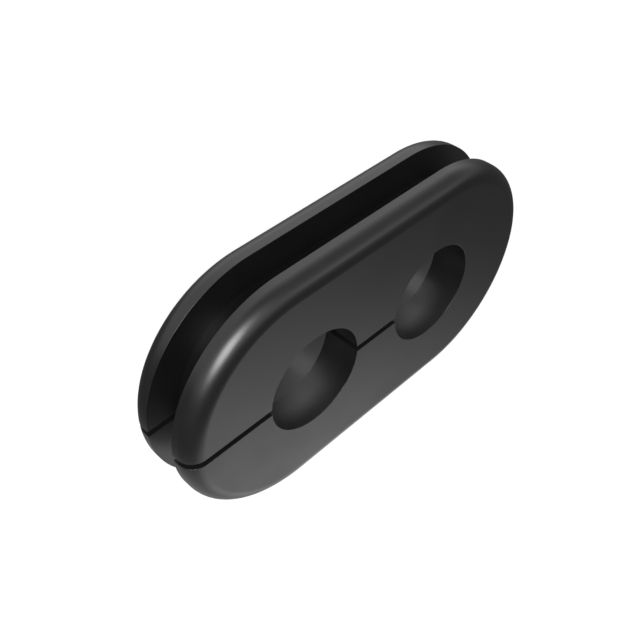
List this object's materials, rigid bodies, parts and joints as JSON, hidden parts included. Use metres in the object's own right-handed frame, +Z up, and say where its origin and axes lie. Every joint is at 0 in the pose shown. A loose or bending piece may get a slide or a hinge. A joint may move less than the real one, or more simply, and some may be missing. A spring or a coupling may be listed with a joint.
{
  "type": "double flanged grommet",
  "caption": "Obround rubber grommet with a panel groove between its flanges, membrane-closed bores for cables, and a slit from one end to let the cables in.",
  "frame": {"origin": "on the surface that the grommet stands on, under the middle of its length and thickness", "axes": "+X along the length, away from the slit end; +Z up, across the width; the front face looks along -Y"},
  "size_m": [0.0335, 0.006, 0.0185],
  "materials": {
    "rubber": "satin black moulded rubber"
  },
  "bodies": {
    "root": {"grommet": "rubber"}
  },
  "joints": []
}
